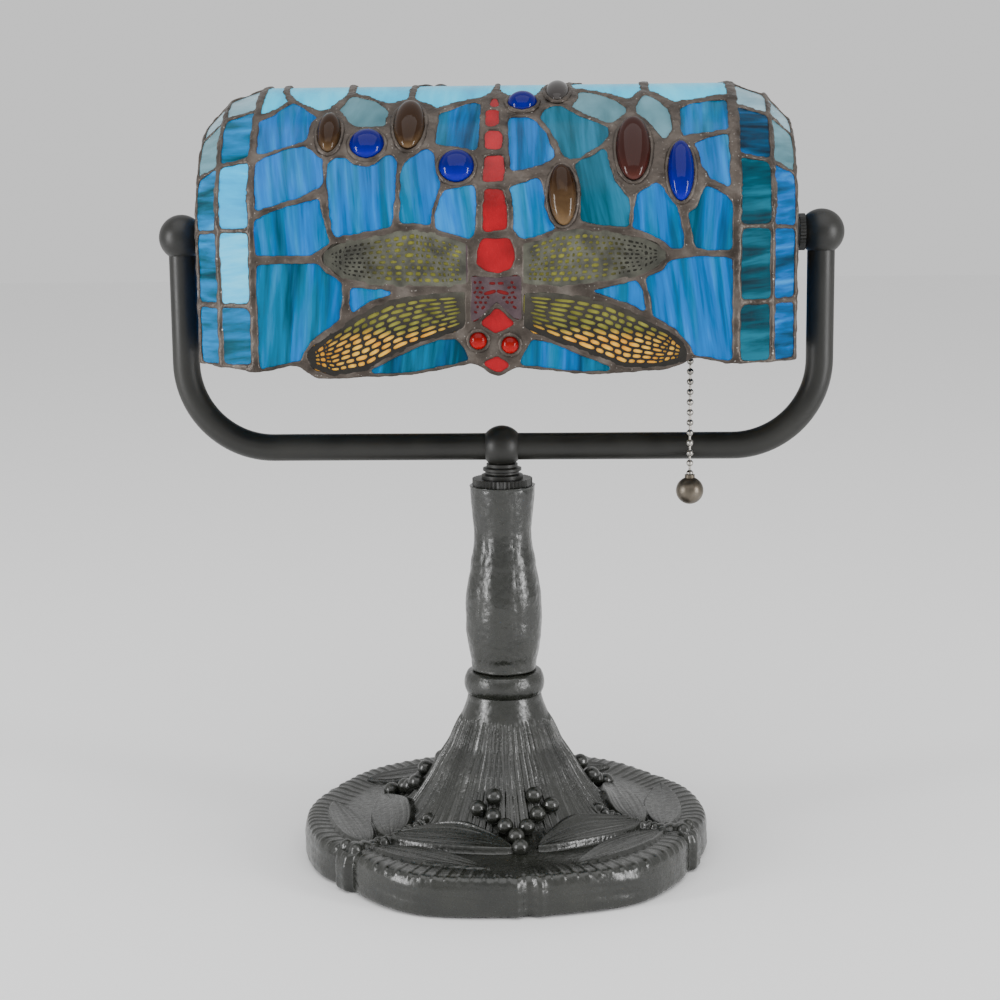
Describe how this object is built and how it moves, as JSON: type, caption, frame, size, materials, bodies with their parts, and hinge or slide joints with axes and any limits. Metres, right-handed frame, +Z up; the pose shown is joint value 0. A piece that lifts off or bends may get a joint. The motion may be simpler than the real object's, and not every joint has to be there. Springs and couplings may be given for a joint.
{
  "type": "stained glass table lamp",
  "caption": "Desk lamp with a barrel-vault stained-glass dragonfly shade that tilts on a bent-tube yoke, a cast round base and a bead pull chain.",
  "frame": {"origin": "centre of the underside of the base", "axes": "+Z up, -Y towards the viewer (front), +X to the viewer's right along the shade's tilt axis"},
  "size_m": [0.2994, 0.183, 0.3443],
  "materials": {
    "bronze_casting": "semi-gloss dark bronze lacquer over a hammered casting",
    "bronze_tube": "satin dark bronze lacquer on tube and turned fittings",
    "felt": "dark felt",
    "steel": "zinc-plated steel fasteners, rod and weight plate",
    "brass": "brass washers, bushes and lamp shells",
    "bushing": "black moulded bushing and insulator",
    "liner": "fibre liner",
    "lead_insulation": "rubber-covered lead",
    "solder": "dark patinated solder over came",
    "blue_glass": "streaky blue art glass",
    "teal_glass": "streaky teal art glass",
    "gray_glass": "blue-grey art glass",
    "sky_glass": "pale sky-blue art glass",
    "wing_glass": "olive to amber art glass",
    "red_glass": "red art glass",
    "cobalt_glass": "polished cobalt jewel",
    "amber_glass": "polished brown jewel",
    "garnet_glass": "polished dark red jewel",
    "smoke_glass": "polished smoke jewel",
    "bulb_glass": "frosted bulb glass",
    "chain_metal": "antique nickel bead chain",
    "ball_bronze": "antique bronze pull ball"
  },
  "bodies": {
    "stand": {"base_casting": "bronze_casting", "base_collar": "bronze_casting", "column": "bronze_casting", "base_felt": "felt", "base_cover_plate": "steel", "cord_bushing": "bushing", "threaded_rod": "steel", "rod_washer": "steel", "rod_nut": "steel", "column_locknut": "bronze_tube", "neck_collar": "bronze_tube", "tee_ball": "bronze_tube", "left_arm": "bronze_tube", "right_arm": "bronze_tube", "left_end_ball": "bronze_tube", "right_end_ball": "bronze_tube", "pivot_nipples": "brass", "knurled_washers": "bronze_tube", "pivot_spacers": "bronze_tube", "friction_washers": "bronze_tube", "keeper_washers": "brass", "keeper_nuts": "brass", "holder_cap": "brass", "holder_shell": "brass", "holder_liner": "liner", "holder_screw_shell": "brass", "switch_body": "bushing", "center_contact": "brass", "chain_outlet": "brass", "supply_lead": "lead_insulation"},
    "shade": {"shade_came": "solder", "panes_blue_front": "blue_glass", "panes_blue_back": "blue_glass", "panes_teal": "teal_glass", "panes_gray": "gray_glass", "panes_sky": "sky_glass", "end_panes_left": "blue_glass", "end_panes_right": "teal_glass", "cap_panes": "blue_glass", "wing_glass": "wing_glass", "dragonfly_segments": "red_glass", "dragonfly_eyes": "red_glass", "jewels_cobalt": "cobalt_glass", "jewels_amber": "amber_glass", "jewels_garnet": "garnet_glass", "jewels_smoke": "smoke_glass", "wing_filigree": "solder", "shade_bushes": "brass"},
    "bulb": {"bulb_screw_base": "brass", "bulb_glass": "bulb_glass", "bulb_stem": "bulb_glass", "bulb_filament": "steel"},
    "switch_link": {"pull_coupling": "chain_metal"},
    "chain": {"pull_chain": "chain_metal", "pull_ball": "ball_bronze"}
  },
  "joints": [
    {"name": "shade_tilt", "type": "hinge", "parent": "stand", "child": "shade", "pos_m": [0, 0, 0.279], "axis": [1, 0, 0], "range_deg": [-30, 30]},
    {"name": "bulb_out", "type": "slide", "parent": "stand", "child": "bulb", "axis": [-1, 0, 0], "range_m": [0, 0.03]},
    {"name": "switch_pull", "type": "slide", "parent": "stand", "child": "switch_link", "axis": [0, -0.6, -0.8], "range_m": [0, 0.006], "stiffness_N_per_m": 150},
    {"name": "chain_swing", "type": "hinge", "parent": "switch_link", "child": "chain", "pos_m": [0.0825, -0.01476, 0.25932], "axis": [1, 0, 0], "range_deg": [-8, 5]}
  ]
}
